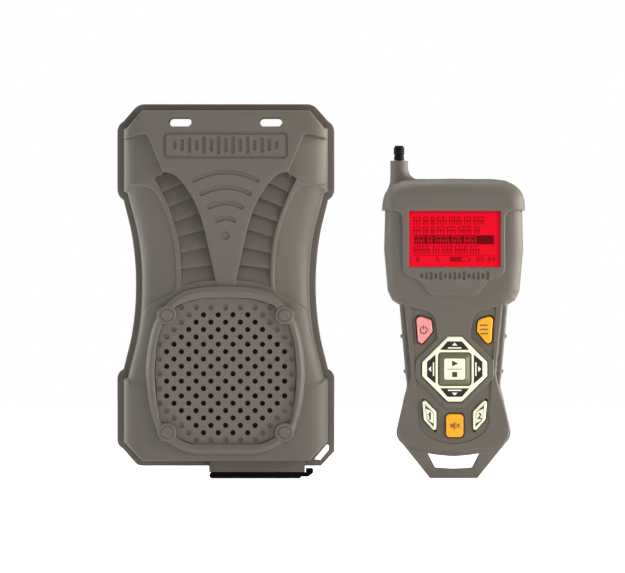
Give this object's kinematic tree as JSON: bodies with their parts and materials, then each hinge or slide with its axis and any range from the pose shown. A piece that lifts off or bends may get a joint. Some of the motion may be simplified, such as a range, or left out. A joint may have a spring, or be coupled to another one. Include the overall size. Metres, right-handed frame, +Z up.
{
  "type": "electronic game caller",
  "caption": "Loudspeaker unit that plays animal sounds, with the hand-held remote that controls it by radio.",
  "frame": {"origin": "on the loudspeaker unit's centre plane, at the ground, where its two shells part", "axes": "+X to the right seen from the front, +Y to the rear, +Z up"},
  "size_m": [0.2254, 0.0672, 0.2067],
  "materials": {
    "shell": "fine moulded grain",
    "rubber": "matt",
    "steel": "plated",
    "cloth": "woven",
    "basket": "black enamel",
    "magnet": "ferrite",
    "coil": "enamelled copper winding",
    "cone": "pressed fibre",
    "board": "solder mask",
    "chips": "matt",
    "wire": "insulation",
    "black_plastic": "satin",
    "cell": "plain sleeve",
    "contact": "plated spring strip",
    "display_lens": "clear",
    "display": "backlit",
    "membrane": "silicone",
    "pink_key": "translucent, backlit",
    "yellow_key": "translucent, backlit",
    "pale_key": "translucent, backlit",
    "smoke_key": "smoked translucent",
    "antenna_metal": "plated",
    "antenna_black": "satin"
  },
  "bodies": {
    "caller": {"caller_front_shell": "shell", "caller_rear_shell": "shell", "speaker_grille": "shell", "screw_caps": "shell", "shell_gasket": "rubber", "speaker_gasket": "rubber", "door_gasket": "rubber", "speaker_surround": "rubber", "shell_screws": "steel", "grille_screws": "steel", "grille_nuts": "steel", "board_screws": "steel", "door_hinge_pins": "steel", "speaker_top_plate": "steel", "speaker_yoke": "steel", "grille_cloth": "cloth", "speaker_spider": "cloth", "speaker_frame": "basket", "speaker_magnet": "magnet", "amplifier_board": "board", "board_components": "chips", "power_switch": "chips", "receiver_aerial": "wire", "speaker_leads": "wire", "battery_tray": "black_plastic", "port_panel": "black_plastic", "port_jacks": "black_plastic", "battery_cells": "cell", "battery_contacts": "contact"},
    "cone_assembly": {"speaker_cone": "cone", "voice_coil": "coil", "dust_cap": "cone"},
    "power_button": {"power_button": "black_plastic"},
    "battery_door": {"battery_door": "shell"},
    "port_cover": {"port_cover": "rubber"},
    "remote": {"remote_front_shell": "shell", "remote_rear_shell": "shell", "remote_screws": "steel", "display_window": "display_lens", "display_module": "display", "remote_board": "board", "remote_chips": "chips", "keypad_membrane": "membrane", "switch_domes": "contact", "antenna_sleeve": "antenna_metal", "remote_battery_cells": "cell", "remote_battery_contacts": "contact"},
    "power_key": {"power_key": "pink_key"},
    "menu_key": {"menu_key": "yellow_key"},
    "preset_one_key": {"preset_one_key": "pale_key"},
    "preset_two_key": {"preset_two_key": "pale_key"},
    "mute_key": {"mute_key": "yellow_key"},
    "select_key": {"select_key": "smoke_key"},
    "nav_carrier": {"nav_carrier": "black_plastic"},
    "nav_pad": {"nav_pad": "pale_key"},
    "antenna_lower": {"antenna_lower_tube": "antenna_metal"},
    "antenna_upper": {"antenna_upper_tube": "antenna_metal"},
    "antenna_tip": {"antenna_tip": "antenna_black"},
    "remote_battery_door": {"remote_battery_door": "shell"}
  },
  "joints": [
    {"name": "cone_travel", "type": "slide", "parent": "caller", "child": "cone_assembly", "axis": [0, 1, 0], "range_m": [-0.0012, 0.0012], "stiffness_N_per_m": 1500, "deforming": ["speaker_surround", "speaker_spider"]},
    {"name": "power_button_press", "type": "slide", "parent": "caller", "child": "power_button", "axis": [0, 0, 1], "range_m": [0, 0.0012], "stiffness_N_per_m": 900},
    {"name": "port_cover_hinge", "type": "hinge", "parent": "caller", "child": "port_cover", "pos_m": [-0.0075, 0.002, 0.0016], "axis": [0, 1, 0], "range_deg": [0, 100]},
    {"name": "battery_door_hinge", "type": "hinge", "parent": "caller", "child": "battery_door", "pos_m": [0, 0.0348, 0.0229], "axis": [-1, 0, 0], "range_deg": [0, 100]},
    {"name": "remote_lift", "type": "slide", "parent": "caller", "child": "remote", "axis": [0, 0, 1], "range_m": [0, 0.12]},
    {"name": "power_key_press", "type": "slide", "parent": "remote", "child": "power_key", "axis": [0, 1, 0], "range_m": [0, 0.0008], "stiffness_N_per_m": 900},
    {"name": "menu_key_press", "type": "slide", "parent": "remote", "child": "menu_key", "axis": [0, 1, 0], "range_m": [0, 0.0008], "stiffness_N_per_m": 900},
    {"name": "preset_one_key_press", "type": "slide", "parent": "remote", "child": "preset_one_key", "axis": [0, 1, 0], "range_m": [0, 0.0008], "stiffness_N_per_m": 900},
    {"name": "preset_two_key_press", "type": "slide", "parent": "remote", "child": "preset_two_key", "axis": [0, 1, 0], "range_m": [0, 0.0008], "stiffness_N_per_m": 900},
    {"name": "mute_key_press", "type": "slide", "parent": "remote", "child": "mute_key", "axis": [0, 1, 0], "range_m": [0, 0.0008], "stiffness_N_per_m": 900},
    {"name": "select_key_press", "type": "slide", "parent": "remote", "child": "select_key", "axis": [0, 1, 0], "range_m": [0, 0.0008], "stiffness_N_per_m": 900},
    {"name": "nav_tilt_vertical", "type": "hinge", "parent": "remote", "child": "nav_carrier", "pos_m": [0.1264, -0.012, 0.0603], "axis": [1, 0, 0], "range_deg": [-2.5, 2.5], "stiffness_Nm_per_rad": 0.5},
    {"name": "nav_tilt_horizontal", "type": "hinge", "parent": "nav_carrier", "child": "nav_pad", "pos_m": [0.1264, -0.012, 0.0603], "axis": [0, 0, 1], "range_deg": [-2.5, 2.5], "stiffness_Nm_per_rad": 0.5},
    {"name": "antenna_lower_slide", "type": "slide", "parent": "remote", "child": "antenna_lower", "axis": [0, 0, 1], "range_m": [0, 0.055]},
    {"name": "antenna_upper_slide", "type": "slide", "parent": "antenna_lower", "child": "antenna_upper", "axis": [0, 0, 1], "range_m": [0, 0.055]},
    {"name": "antenna_tip_slide", "type": "slide", "parent": "antenna_upper", "child": "antenna_tip", "axis": [0, 0, 1], "range_m": [0, 0.055]},
    {"name": "remote_door_hinge", "type": "hinge", "parent": "remote", "child": "remote_battery_door", "pos_m": [0.1259, 0.0121, 0.0379], "axis": [-1, 0, 0], "range_deg": [0, 90]}
  ]
}
